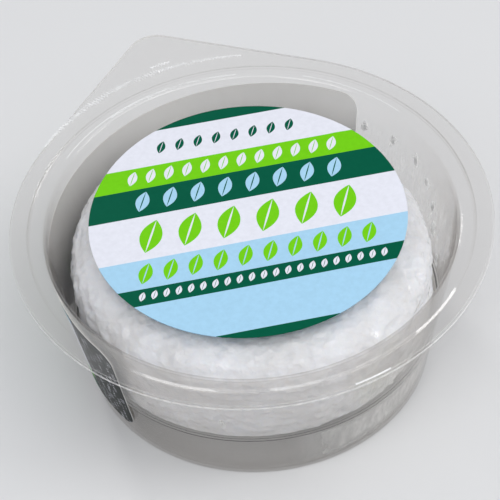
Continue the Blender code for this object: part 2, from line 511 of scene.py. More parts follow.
def profile_curve(name, corners):
    """A profile in the XZ plane from (radius, height, rounding), from the top down outside."""
    curve = bpy.data.curves.new(name, "CURVE")
    curve.dimensions = "3D"
    line = curve.splines.new("POLY")
    line.points.add(len(corners) - 1)
    for point, (radius, height, rounding) in zip(line.points, corners):
        point.co = (radius, 0.0, height, 1.0)
        point.radius = rounding
    return curve


def turned_piece(name, corners, material, rim_radius=1.0, corner_steps=6, around=AROUND, rows=0):
    """A turned open or closed surface, with the peel corner where rim_radius names a ring."""
    peel_radius = PEEL_RADIUS + min(0.0, rim_radius - FLANGE_RADIUS)
    return through_tree(
        name, profile_curve(name, corners), turning_tree, around=around,
        corner_steps=corner_steps, rows=rows, rim_radius=rim_radius, peel_radius=peel_radius,
        peel_centre=PEEL_CENTRE, peel_half_angle=PEEL_HALF_ANGLE, material=material)


# %% [markdown]
# ## The tub
#
# The profile runs from the flange's edge inwards, over the small step that marks the lip,
# round the mouth, down the tapered wall and in at its waist, under the base ring and up again
# to the raised floor. It's the outer side of the plastic, so Solidify adds the wall to the back
# of it. A solid block made hollow would do too, but a sheet keeps its wall even, as the real one.

# %% Make the tub
under_flange = TUB_TOP - WALL
under_floor = FLOOR_HEIGHT - WALL
lip_start = FLANGE_RADIUS - LIP_WIDTH
waist_radius = wall_radius(WAIST_HEIGHT)
tub_profile = [
    (FLANGE_RADIUS, under_flange - LIP_DROP, 0.0),
    (lip_start + LIP_DROP, under_flange - LIP_DROP, 0.0003),
    (lip_start, under_flange, 0.0003),
    (MOUTH_RADIUS, under_flange, 0.0010),
    (waist_radius, WAIST_HEIGHT, 0.0002),
    (waist_radius - WAIST_STEP, WAIST_HEIGHT - WAIST_STEP, 0.0002),
    (BASE_RADIUS, 0.0, BASE_ROUNDING),
    (FLOOR_RADIUS, 0.0, BASE_ROUNDING),
    (FLOOR_RADIUS, under_floor, 0.0010),
    (0.0, under_floor, 0.0),
]
tub = turned_piece("clear_tub", tub_profile, tub_plastic, rim_radius=FLANGE_RADIUS)
tub = place(give_wall(tub, WALL, cut_edge))
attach(tub, "root")
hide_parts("tub")
print("tub has", len(tub.data.polygons), "faces")

# %% [markdown]
# ## The film
#
# The film is welded to the flange, follows its step, and stands a little proud over the mouth
# where gas in the pack pushes it up. It's cut a hair smaller than the flange, so their two
# edges show as a double line. It is turned like the tub, from a profile of its own.

# %% Make the film
SEAL_GAP = 0.00004
FILM_RADIUS = FLANGE_RADIUS - 0.0005
FILM_RISE = film_high.z - FILM - TUB_TOP - SEAL_GAP
film_low_top = TUB_TOP + SEAL_GAP + FILM
film_high_top = film_low_top + FILM_RISE
lip_top = film_low_top - LIP_DROP
step_start = lip_start + 0.0003
dome_radius = MOUTH_RADIUS - 0.0055
film_profile = [
    (0.0, film_high_top, 0.0),
    (dome_radius, film_high_top, 0.006),
    (MOUTH_RADIUS + 0.0004, film_low_top, 0.0015),
    (step_start, film_low_top, 0.0003),
    (step_start + LIP_DROP, lip_top, 0.0003),
    (FILM_RADIUS, lip_top, 0.0),
]
film = turned_piece("sealed_film", film_profile, film_plastic, rim_radius=FILM_RADIUS)
film = place(give_wall(film, FILM, cut_edge))
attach(film, "root")
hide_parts("lid_film")
print("film has", len(film.data.polygons), "faces")

# %% [markdown]
# ## The round label
#
# The print is plain bands of colour that slope across the disc, with a row of small leaves in
# some of them. A Color Ramp with constant steps turns the height across the bands into their
# colours. Each leaf row repeats one cell along the band. Inside it the axes are turned until
# one runs along the leaf: a point belongs to the leaf where its distance from that axis is less
# than a parabola over its length, which gives two pointed ends, and a thin gap is left for the
# rib.

# %% Colours, bands and leaf rows of the print
LABEL_RADIUS = (label_high.x - label_low.x) / 2
LABEL_MIDDLE = (label_low + label_high) / 2
BAND_TURN = math.radians(-11)
DEEP_GREEN = (0.0, 0.095, 0.050)
LIME = (0.17, 0.60, 0.008)
PALE_BLUE = (0.38, 0.63, 0.82)
LABEL_WHITE = (0.76, 0.77, 0.84)
LEAF_LEAN = math.radians(24)
LEAF_RIB = 0.09
PRINT_FIBRES_PER_METRE = 900.0
LABEL_SWELLS_PER_METRE = 55.0

# Each band's colour and its lower edge, in metres from the label's middle
bands = [
    (DEEP_GREEN, 0.0338), (LABEL_WHITE, 0.0221), (LIME, 0.0151), (DEEP_GREEN, 0.0060),
    (LABEL_WHITE, -0.0077), (PALE_BLUE, -0.0164), (DEEP_GREEN, -0.0213), (PALE_BLUE, -0.0343),
    (DEEP_GREEN, -LABEL_RADIUS),
]
# Each leaf row's colour, height, pitch, leaf half length, leaf half width, and number of leaves
leaf_rows = [
    (DEEP_GREEN, 0.0275, 0.0045, 0.0021, 0.0010, 8),
    (LABEL_WHITE, 0.0186, 0.0044, 0.0024, 0.0011, 12),
    (PALE_BLUE, 0.0106, 0.0066, 0.0033, 0.0016, 8),
    (LIME, -0.0009, 0.0092, 0.0053, 0.0026, 6),
    (LIME, -0.0121, 0.0058, 0.0033, 0.0016, 10),
    (LABEL_WHITE, -0.0189, 0.0028, 0.0014, 0.0007, 21),
]
print("the print has %d bands and %d rows of leaves" % (len(bands), len(leaf_rows)))


# %% The print
def leaf_mask(tree, along, up, height, pitch, half_length, half_width, number):
    """1 inside a row of leaning leaves, 0 elsewhere and on each leaf's middle rib."""
    shift = pitch / 2 if number % 2 == 0 else 0.0
    cell = maths(tree, "WRAP", maths(tree, "SUBTRACT", along, shift), pitch / 2, -pitch / 2)
    rise = maths(tree, "SUBTRACT", up, height)
    lean_sine, lean_cosine = math.sin(LEAF_LEAN), math.cos(LEAF_LEAN)
    lengthwise = maths(
        tree, "ADD", product(tree, cell, lean_sine), product(tree, rise, lean_cosine))
    sideways = maths(
        tree, "SUBTRACT", product(tree, cell, lean_cosine), product(tree, rise, lean_sine))
    share = maths(tree, "DIVIDE", lengthwise, half_length)
    shape = maths(tree, "SUBTRACT", 1.0, product(tree, share, share))
    off = maths(tree, "DIVIDE", maths(tree, "ABSOLUTE", sideways), half_width)
    inside = maths(tree, "LESS_THAN", off, shape)
    beside_rib = maths(tree, "GREATER_THAN", off, product(tree, shape, LEAF_RIB))
    within = maths(tree, "LESS_THAN", maths(tree, "ABSOLUTE", along), number * pitch / 2)
    return product(tree, inside, beside_rib, within)


def striped(tree, share, stripes):
    """Flat stripes of colour, given as (start, colour) with starts from 0 to 1."""
    ramp = add_node(tree, "ShaderNodeValToRGB", {"Fac": share})
    ramp.color_ramp.interpolation = "CONSTANT"
    stops = ramp.color_ramp.elements
    stops.remove(stops[1])
    for number, (start, colour) in enumerate(stripes):
        stop = stops.new(start) if number else stops[0]
        stop.color = (*colour, 1.0)
    return ramp.outputs[0]


def fibre_cast(tree, fibres, colour):
    """The colour with a faint cast from the paper's fibres."""
    cast = remap(tree, fibres, 0.3, 0.7, 0.94, 1.0)
    return blend_colours(tree, 1.0, colour, cast, "MULTIPLY")


def printed_label(name):
    """Coated paper with bands of colour and rows of leaves."""
    material, tree, place_in = new_material(name)
    straight = output_of(tree, "ShaderNodeMapping", {
        "Vector": place_in, "Location": LABEL_MIDDLE, "Rotation": (0.0, 0.0, BAND_TURN)},
        vector_type="TEXTURE")
    parts = split(tree, straight)
    ends = [(LABEL_RADIUS - lower_edge) / (2 * LABEL_RADIUS) for colour, lower_edge in bands]
    stripes = zip([0.0] + ends, [colour for colour, lower_edge in bands])
    colour = striped(tree, remap(tree, parts["Y"], LABEL_RADIUS, -LABEL_RADIUS), stripes)
    for leaf_colour, *shape in leaf_rows:
        leaves = leaf_mask(tree, parts["X"], parts["Y"], *shape)
        colour = blend_colours(tree, leaves, colour, leaf_colour)
    fibres = noise(tree, PRINT_FIBRES_PER_METRE, 2.0, Vector=place_in)
    swells = noise(tree, LABEL_SWELLS_PER_METRE, 2.0, Vector=place_in)
    coated = shader(tree, "Principled", {
        "Base Color": fibre_cast(tree, fibres, colour), "Specular IOR Level": 0.05,
        "Roughness": remap(tree, fibres, 0.3, 0.7, 0.34, 0.46),
        "Normal": bump(tree, swells, 0.0002)})
    return finish_material(material, coated)


label_print = printed_label("label print")
print("print finish:", label_print.name)

# %% [markdown]
# The disc is turned from a thin profile with many rows, so that it can bend. A disc that is
# stuck on by machine on a slack film isn't quite flat: a few low waves and one crease near the
# upper right edge move its points up by a tenth of a millimetre or two, which is enough for the
# light to show them.

# %% Make the round label
LABEL_LIFT = 0.00006
CREASE_FROM = Vector((0.0325, 0.0145))
CREASE_TO = Vector((0.0200, 0.0250))
CREASE_HEIGHT = 0.00012
CREASE_HALF_WIDTH = 0.0011
label_base = film_high_top + LABEL_LIFT
label_face = label_base + label_high.z - label_low.z
label_profile = [
    (0.0, label_face, 0.0),
    (LABEL_RADIUS, label_face, 0.00005),
    (LABEL_RADIUS, label_base, 0.0),
    (0.0, label_base, 0.0),
]
label = turned_piece("round_label", label_profile, label_print, corner_steps=2, rows=160)


def label_wave(x, y):
    """How far the label stands up from the film at a point."""
    wave = 0.00003 * (1 + math.sin(90 * x + 60 * y + 0.4))
    wave += 0.00002 * (1 + math.sin(140 * y - 70 * x))
    along = (CREASE_TO - CREASE_FROM).normalized()
    here = Vector((x, y)) - CREASE_FROM
    off = here.x * -along.y + here.y * along.x
    crease = CREASE_HEIGHT * math.exp(-(off / CREASE_HALF_WIDTH) ** 2)
    return wave + crease * math.exp(-((here @ along - 0.008) / 0.011) ** 2)


for vertex in label.data.vertices:
    vertex.co.z += label_wave(vertex.co.x, vertex.co.y)
label = place(label, Vector((LABEL_MIDDLE.x, LABEL_MIDDLE.y, 0.0)))
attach(label, "root")
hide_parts("top_label")
print("label has", len(label.data.polygons), "faces")

# %% [markdown]
# ## The side label
#
# A wide paper band is stuck round the outside of the back wall and the left side, a little
# aslant: its left end sits lower than its right. Through the clear plastic only its plain pale
# back shows. The outer face carries bands of colour, a row of leaves, and fields of fine
# dashes, the one at the left end on a near-black panel, which is painted shade for the shade
# that falls on that end. Its pattern follows the wall: the angle round the axis, times the
# radius, says how far along the band a point lies.

# %% Paper finishes
SIDE_START = math.radians(34.5)
SIDE_END = math.radians(205)
SIDE_SLANT = 0.0058
SHINES_THROUGH = 0.08
DASH_ROW = 0.0012
DASHES_PER_METRE = 600.0
PANEL_START = 0.0560
# Near-black ground that paints the shade on the band's left end
PANEL_PAINTED_SHADE = (0.010, 0.014, 0.012)
DARK_INK = (0.02, 0.03, 0.03)
PAPER_FIBRES_PER_METRE = 600.0
PAPER_STREAKS_PER_METRE = (500.0, 500.0, 30.0)
PAPER_SHADE = 0.96
side_length = (SIDE_END - SIDE_START) * MOUTH_RADIUS
side_stripes = [
    (0.0, DEEP_GREEN), (0.16, LIME), (0.23, LABEL_WHITE), (0.86, PALE_BLUE), (0.92, DEEP_GREEN)]
side_leaves = (0.0235, 0.0100, 0.0062, 0.0030, 6)
# Each dash field's ink, first and last place along the band, lowest and highest, half the
# height of a dash in metres, and how rare the dashes are
dash_fields = [
    (DARK_INK, -0.066, -0.036, 0.0140, 0.0290, 0.00026, 0.46),
    (LABEL_WHITE, 0.0570, 0.0716, 0.0070, 0.0360, 0.00024, 0.55),
]


def paper(name, colour, see_through):
    """Uncoated paper with faint fibres, see_through being the share of light that passes."""
    material, tree, place_in = new_material(name)
    fibres = noise(tree, PAPER_FIBRES_PER_METRE, 4.0, Vector=place_in)
    upright = output_of(tree, "ShaderNodeMapping", {
        "Vector": place_in, "Scale": PAPER_STREAKS_PER_METRE})
    streaks = noise(tree, 1.0, 2.0, Vector=upright)
    both = maths(tree, "MULTIPLY_ADD", fibres, 0.4, product(tree, streaks, 0.6))
    shade = tuple(c * PAPER_SHADE for c in colour)
    tone = blend_colours(tree, remap(tree, both, 0.35, 0.65), shade, colour)
    relief = bump(tree, fibres, 0.00004)
    body = shader(tree, "Principled", {
        "Base Color": tone, "Roughness": 0.65, "Specular IOR Level": 0.3, "Normal": relief})
    through = shader(tree, "Translucent", {"Color": tone, "Normal": relief})
    return finish_material(material, mix_shaders(tree, see_through, body, through))


def dash_mask(tree, along, up, left, right, low, high, half_height, rarity):
    """1 on rows of broken fine dashes inside a field."""
    row = maths(tree, "WRAP", up, DASH_ROW / 2, -DASH_ROW / 2)
    on_row = maths(tree, "COMPARE", row, 0.0, half_height)
    cell = combine(tree, X=product(tree, along, DASHES_PER_METRE),
                   Y=maths(tree, "FLOOR", maths(tree, "DIVIDE", up, DASH_ROW)))
    inked = maths(tree, "GREATER_THAN", noise(tree, 1.0, 2.0, Vector=cell), rarity)
    inside = product(
        tree, maths(tree, "COMPARE", along, (left + right) / 2, (right - left) / 2),
        maths(tree, "COMPARE", up, (low + high) / 2, (high - low) / 2))
    return product(tree, on_row, inked, inside)


def round_the_axis(tree, place_in, middle_angle):
    """The angle round the tub from a middle angle, and the height."""
    turned = output_of(tree, "ShaderNodeMapping", {
        "Vector": place_in, "Location": AXIS, "Rotation": (0.0, 0.0, middle_angle)},
        vector_type="TEXTURE")
    parts = split(tree, turned)
    return maths(tree, "ARCTAN2", parts["Y"], parts["X"]), parts["Z"]


def banded_paper(name, middle_angle, low, high):
    """Printed paper with bands round the tub, leaves in the middle, fields of dashes, and a
    near-black panel of painted shade at its left end.
    """
    material, tree, place_in = new_material(name)
    angle, height = round_the_axis(tree, place_in, middle_angle)
    along = product(tree, angle, MOUTH_RADIUS)
    up = maths(tree, "MULTIPLY_ADD", along, SIDE_SLANT / side_length, height)
    colour = striped(tree, remap(tree, up, low, high), side_stripes)
    colour = blend_colours(tree, leaf_mask(tree, along, up, *side_leaves), colour, LIME)
    # Painted shade: from PANEL_START on, the ground is near black, for the shade on the band's left
    # end
    on_shaded_panel = maths(tree, "GREATER_THAN", along, PANEL_START)
    colour = blend_colours(tree, on_shaded_panel, colour, PANEL_PAINTED_SHADE)
    for ink, *field in dash_fields:
        colour = blend_colours(tree, dash_mask(tree, along, up, *field), colour, ink)
    fibres = noise(tree, PRINT_FIBRES_PER_METRE, 2.0, Vector=place_in)
    colour = fibre_cast(tree, fibres, colour)
    coated = shader(tree, "Principled", {
        "Base Color": colour, "Roughness": 0.4, "Specular IOR Level": 0.15,
        "Normal": bump(tree, fibres, 0.00002)})
    through = shader(tree, "Translucent", {"Color": colour})
    return finish_material(material, mix_shaders(tree, SHINES_THROUGH, coated, through))


white_paper = paper("white paper", (0.98, 0.98, 0.965), SHINES_THROUGH)
side_print = banded_paper("side print", (SIDE_START + SIDE_END) / 2,
                          side_low.z + SIDE_SLANT / 2, side_high.z - SIDE_SLANT / 2)
print("paper finishes:", white_paper.name, "and", side_print.name)

# %% [markdown]
# The band is made column by column: each column is a straight line down the tapered wall, and
# near the two ends the columns get shorter along a quarter circle, which rounds the corners.
# Columns lie closer together there, which keeps the curve smooth. Solidify gives the paper its
# thickness, and puts the plain finish on its back and edges.

# %% Make the side label
SIDE_CORNER = 0.0045
SIDE_STANDOFF = 0.0001
SIDE_THICKNESS = 0.00015
SIDE_STEPS = 240
side_height = side_high.z - side_low.z - SIDE_SLANT


def side_label_column(share):
    """The highest and the lowest point of the band at a share of its length."""
    short = max(0.0, SIDE_CORNER - min(share, 1 - share) * side_length)
    rounding = math.sqrt(max(0.0, SIDE_CORNER ** 2 - short ** 2))
    half = side_height / 2 - SIDE_CORNER + rounding
    angle = SIDE_START + (SIDE_END - SIDE_START) * share
    middle = side_high.z - side_height / 2 - SIDE_SLANT * share
    off = SIDE_STANDOFF + SIDE_THICKNESS
    return [wall_point(angle, height, off) for height in (middle + half, middle - half)]


shares = [(1 - math.cos(math.pi * step / SIDE_STEPS)) / 2 for step in range(SIDE_STEPS + 1)]
side_label = open_sheet("side_label_band", map(side_label_column, shares), side_print)
side_label = place(give_wall(side_label, SIDE_THICKNESS, white_paper, edge_and_back=True))
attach(side_label, "root")
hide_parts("side_label")
print("side label is %.0f mm long and %.1f mm high" % (side_length * 1000, side_height * 1000))

# %% [markdown]
# ## The cheese
#
# Fresh cheese is white right through and a little see-through, so light that enters comes out
# nearby. A small subsurface share does that. The skin is moist: a thin coat whose strength
# follows noise makes some places shine and leaves others dull. Whey soaks one spot at the
# front, which turns it a little yellower.

# %% White curd
WHEY_SPOT = AXIS + Vector((0.0140, -0.0400, 0.0225))
WHEY_COLOUR = (0.70, 0.72, 0.62)
CURD_SHADE, CURD_WHITE = (0.76, 0.76, 0.77), (0.84, 0.85, 0.88)
CLOUDS_PER_METRE = 110.0
WET_PATCHES_PER_METRE = 260.0
FINE_GRAINS_PER_METRE = 850.0


def white_curd(name):
    """Moist fresh cheese."""
    material, tree, place_in = new_material(name)
    clouds = noise(tree, CLOUDS_PER_METRE, 4.0, Vector=place_in)
    share = remap(tree, clouds, 0.35, 0.65)
    tone = blend_colours(tree, share, CURD_SHADE, CURD_WHITE)
    from_spot = add_node(tree, "ShaderNodeVectorMath", {0: place_in, 1: WHEY_SPOT},
                         operation="DISTANCE").outputs["Value"]
    soaked = remap(tree, from_spot, 0.004, 0.012, 0.6, 0.0)
    tone = blend_colours(tree, product(tree, soaked, share), tone, WHEY_COLOUR)
    wet = noise(tree, WET_PATCHES_PER_METRE, 2.0, Vector=place_in)
    grains = noise(tree, FINE_GRAINS_PER_METRE, 3.0, Vector=place_in)
    body = shader(tree, "Principled", {
        "Base Color": tone, "Roughness": remap(tree, clouds, 0.35, 0.65, 0.6, 0.42),
        "Specular IOR Level": 0.35, "Subsurface Weight": 0.3,
        "Subsurface Radius": (1.0, 0.85, 0.7), "Subsurface Scale": 0.0012,
        "Coat Weight": remap(tree, wet, 0.50, 0.62), "Coat Roughness": 0.06,
        "Normal": bump(tree, grains, 0.00035)})
    return finish_material(material, body)


curd = white_curd("white curd")
print("cheese finish:", curd.name)

# %% [markdown]
# The cheese is the same turned form as its solid, made much finer, and then kneaded. Sines
# round the axis give the low swells, and a broad dent the torn flat on its right side. Noise at
# two sizes gives the curd, noise pressed flat gives the folds on its side, and a cell pattern
# presses in the small pits where whey drained. All of it moves points inside Geometry Nodes, so
# the relief is in the mesh and shows in outline too.

# %% A tree that kneads curd into the surface
TORN_SHARE = 0.055
TORN_MIDDLE = math.radians(8)
TORN_HALF_ANGLE = math.radians(24)
# Each swell's number of waves round the cheese, its phase, and its depth as a share of the radius
SWELLS = [(3.0, 0.6, 0.008), (5.0, 2.7, 0.005), (8.0, 1.0, 0.004)]
DISH = (2.0, 0.9, 0.0115)
LUMPS_PER_METRE = 190.0
GRAINS_PER_METRE = 560.0
FOLDS_PER_METRE = (150.0, 150.0, 520.0)
PITS_PER_METRE = 230.0
PITTED_PATCHES_PER_METRE = 60.0
FOOT_BLEND = 0.002


def build_kneading_tree():
    """Moves points by swells, curd lumps, pits and folds."""
    tree, value = new_shape_tree(
        "knead curd", Vector=("Lean",), Float=(
            "Foot height", "Top height", "Lump depth", "Grain depth", "Fold depth", "Pit depth"))
    here = output_of(tree, "GeometryNodeInputPosition")
    parts = split(tree, here)
    across, along, height_here = parts["X"], parts["Y"], parts["Z"]
    around = maths(tree, "ARCTAN2", along, across)
    upward = remap(tree, height_here, value["Foot height"], value["Top height"])

    def wave(count, phase, depth):
        angle = maths(tree, "MULTIPLY_ADD", around, count, phase)
        return product(tree, maths(tree, "SINE", angle), depth)

    swell = wave(*SWELLS[0])
    for numbers in SWELLS[1:]:
        swell = maths(tree, "ADD", swell, wave(*numbers))
    from_torn = maths(
        tree, "DIVIDE", maths(tree, "SUBTRACT", around, TORN_MIDDLE), TORN_HALF_ANGLE)
    torn = maths(tree, "EXPONENT", product(tree, from_torn, from_torn, -1.0))
    swell = maths(tree, "MULTIPLY_ADD", torn, -TORN_SHARE, swell)
    grown = maths(tree, "MULTIPLY_ADD", swell, upward, 1.0)
    outward = maths(tree, "SQRT", maths(
        tree, "ADD", product(tree, across, across), product(tree, along, along)))
    dish = product(tree, wave(*DISH), outward, upward)
    swollen = combine(tree, X=product(tree, across, grown), Y=product(tree, along, grown),
                      Z=maths(tree, "ADD", height_here, dish))
    first = output_of(tree, "GeometryNodeSetPosition", {
        "Geometry": value["Geometry"], "Position": swollen,
        "Offset": scaled(tree, value["Lean"], upward)})

    def above(grey, level, *shares):
        return product(tree, maths(tree, "SUBTRACT", grey, level), *shares)

    normal = output_of(tree, "GeometryNodeInputNormal")
    on_side = maths(tree, "SUBTRACT", 1.0, maths(tree, "ABSOLUTE", split(tree, normal)["Z"]))
    pressed = output_of(tree, "ShaderNodeVectorMath", {0: here, 1: FOLDS_PER_METRE},
                        operation="MULTIPLY")
    folds = noise(tree, 1.0, 2.0, Vector=pressed)
    cells = output_of(tree, "ShaderNodeTexVoronoi", {"Scale": PITS_PER_METRE}, feature="F1")
    pit = remap(tree, cells, 0.10, 0.30, 1.0, 0.0)
    pitted = remap(tree, noise(tree, PITTED_PATCHES_PER_METRE, 1.0), 0.48, 0.62)
    lumps = noise(tree, LUMPS_PER_METRE, 4.0, Roughness=0.6)
    height = above(lumps, 0.5, value["Lump depth"])
    grain = above(noise(tree, GRAINS_PER_METRE, 2.0), 0.5, value["Grain depth"])
    height = maths(tree, "ADD", grain, height)
    height = maths(tree, "ADD", height, above(folds, 0.55, on_side, value["Fold depth"]))
    height = maths(tree, "SUBTRACT", height, product(tree, pit, pitted, value["Pit depth"]))
    foot_end = maths(tree, "ADD", value["Foot height"], FOOT_BLEND)
    above_foot = remap(tree, height_here, value["Foot height"], foot_end)
    second = output_of(tree, "GeometryNodeSetPosition", {
        "Geometry": first, "Offset": scaled(tree, normal, product(tree, height, above_foot))})
    return finish_shape(tree, second, value["Material"])


kneading_tree = build_kneading_tree()

# %% [markdown]
# Here the turned form goes through the kneading tree. It leans a little to the left, because a
# soft cheese seldom sits quite straight in its tub, and it stands just clear of the floor.

# %% Make the cheese
CHEESE_RADIUS = 0.0434
CHEESE_BOTTOM_RADIUS = 0.0422
CHEESE_TOP = TUB_TOP - 0.0037
CHEESE_FOOT = FLOOR_HEIGHT + 0.0001
CHEESE_OFFSET = Vector((-0.0003, -0.0001, 0.0))
CHEESE_LEAN = Vector((-0.0006, -0.0003, 0.0))
cheese_profile = [
    (0.0, CHEESE_TOP, 0.0),
    (CHEESE_RADIUS, CHEESE_TOP, 0.0092),
    (CHEESE_BOTTOM_RADIUS, CHEESE_FOOT, 0.0020),
    (0.0, CHEESE_FOOT, 0.0),
]
turned_curd = turned_piece(
    "turned_curd", cheese_profile, curd, corner_steps=12, around=400, rows=200)
cheese = through_tree(
    "fresh_cheese", turned_curd.data, kneading_tree, foot_height=CHEESE_FOOT,
    top_height=CHEESE_TOP, lean=CHEESE_LEAN, lump_depth=0.0018, grain_depth=0.0011,
    fold_depth=0.0024, pit_depth=0.0007, material=curd)
bpy.data.objects.remove(turned_curd)
cheese = place(cheese, AXIS + CHEESE_OFFSET)
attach(cheese, "root")
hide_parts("cheese")
print("cheese has", len(cheese.data.polygons), "faces")

# %% [markdown]
# ## Crinkles in the seal
#
# Where the hot sealing ring stops, the film shrinks and crinkles into a zigzag line that catches
# the light in bright glints. A Geometry Nodes tree draws it: an arc of points, each pushed in or
# out by turns and by a random share, becomes a fine flattened wire that lies on the film. The wire
# tapers off at both ends, and its near-white finish is painted highlight for those glints.


# %% Build the crinkle tree
def draw_between(tree, low, high, seed):
    """A random number for each point."""
    inputs = {"Min": low, "Max": high, "Seed": seed}
    return add_node(tree, "FunctionNodeRandomValue", inputs).outputs[1]


def build_crinkle_tree():
    """A zigzag wire along an arc, with random reach and height, tapered at its ends."""
    tree, value = new_shape_tree(
        "crinkle along an arc", Int=("Folds", "Seed"),
        Float=("Radius", "First angle", "Turn", "Reach", "Rise", "Thickness"))
    arc = output_of(tree, "GeometryNodeCurveArc", {
        "Resolution": value["Folds"], "Radius": value["Radius"],
        "Start Angle": value["First angle"], "Sweep Angle": value["Turn"]}, mode="RADIUS")
    index = output_of(tree, "GeometryNodeInputIndex")
    outward = output_of(tree, "ShaderNodeVectorMath", {
        0: output_of(tree, "GeometryNodeInputPosition")}, operation="NORMALIZE")
    side = maths(tree, "MULTIPLY_ADD", maths(tree, "MODULO", index, 2.0), 2.0, -1.0)
    share = maths(tree, "DIVIDE", index, value["Folds"])
    hump = maths(tree, "SINE", maths(tree, "MULTIPLY_ADD", share, math.pi * 0.96, 0.05))
    taper = maths(tree, "POWER", hump, 0.6)
    in_or_out = product(tree, side, draw_between(tree, 0.25, 1.0, value["Seed"]))
    reach = product(tree, in_or_out, product(tree, value["Reach"], taper))
    rise = draw_between(tree, 0.2, 1.0, maths(tree, "ADD", value["Seed"], 7.0))
    lift = combine(tree, Z=product(tree, rise, value["Rise"], taper))
    push = output_of(tree, "ShaderNodeVectorMath", {0: scaled(tree, outward, reach), 1: lift})
    moved = output_of(tree, "GeometryNodeSetPosition", {"Geometry": arc, "Offset": push})
    line = output_of(tree, "GeometryNodeSetCurveRadius", {"Curve": moved, "Radius": taper})
    ring = output_of(tree, "GeometryNodeCurvePrimitiveCircle", {
        "Resolution": 5, "Radius": value["Thickness"]})
    wire = output_of(tree, "GeometryNodeCurveToMesh", {
        "Curve": line, "Profile Curve": ring, "Fill Caps": True})
    return finish_shape(tree, wire, value["Material"], smooth=False)


crinkle_tree = build_crinkle_tree()

# %% [markdown]
# One tree makes all the bright lines in the film: two crinkles and a painted glint near the
# peel corner, finer crinkles along the mouth beside a smooth painted highlight line, a thin
# painted highlight line on the mouth's right side, and a short painted highlight at the front
# edge. Their near-white finish paints the highlights that the curved and creased film catches.

# %% Make the crinkles
# Near-white finish of the crinkles: painted highlight for the glints of creased clear film
creased_film_glints = frosted_plastic("creased film", (0.99, 0.99, 0.99), 0.15, 0.15)
mouth_top = film_low_top + 0.00002
# Each crinkle's name, radius, first angle and turn in degrees, folds, reach, rise, thickness
# and height
crinkles = [
    # The flake near the peel corner, the smooth line by the mouth crinkle, and the mouth and edge
    # glints are painted highlights drawn as white wire
    ("seal_crinkle", 0.0564, 70, 60, 150, 0.00105, 0.00030, 0.00016, lip_top),
    ("seal_crinkle_fine", 0.0566, 84, 42, 100, 0.00110, 0.00030, 0.00012, lip_top),
    ("seal_flake", 0.0586, 88, 5, 14, 0.00060, 0.00030, 0.00022, lip_top),
    ("mouth_crinkle", 0.0488, 72, 40, 90, 0.00060, 0.00015, 0.00012, mouth_top),
    ("mouth_crease", 0.0492, 98, 34, 30, 0.00008, 0.00004, 0.00009, mouth_top),
    ("mouth_glint", 0.0490, 20, 32, 24, 0.00014, 0.00008, 0.00007, mouth_top),
    ("edge_glint", 0.0559, -88.5, 9, 8, 0.00003, 0.00003, 0.00020, lip_top),
]
for seed, (name, radius, first, turned_by, *sizes, height) in enumerate(crinkles):
    folds, reach, rise, thickness = sizes
    crinkle = through_tree(
        name, bpy.data.meshes.new(name), crinkle_tree, radius=radius,
        first_angle=math.radians(first), turn=math.radians(turned_by), folds=folds, reach=reach,
        rise=rise, thickness=thickness, seed=seed, material=creased_film_glints)
    crinkle.data.transform(Matrix.Translation(AXIS + Vector((0.0, 0.0, height))))
    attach(crinkle, "root")
    print(name, "has", len(crinkle.data.polygons), "faces")

# %% [markdown]
# ## Curd and whey left on the wall
#
# The cheese slid about in the tub and left crumbs of curd on the inside of the right wall. Each
# mark is given as an angle, a height and a spread. A tree copies every mark into many
# crumbs, scatters them round it, lays each one flat on the tapered wall, and roughens it.


# %% Build the crumb tree
CRUMB_FLATNESS = 0.35
CRUMB_BUMPS_PER_METRE = 2200.0


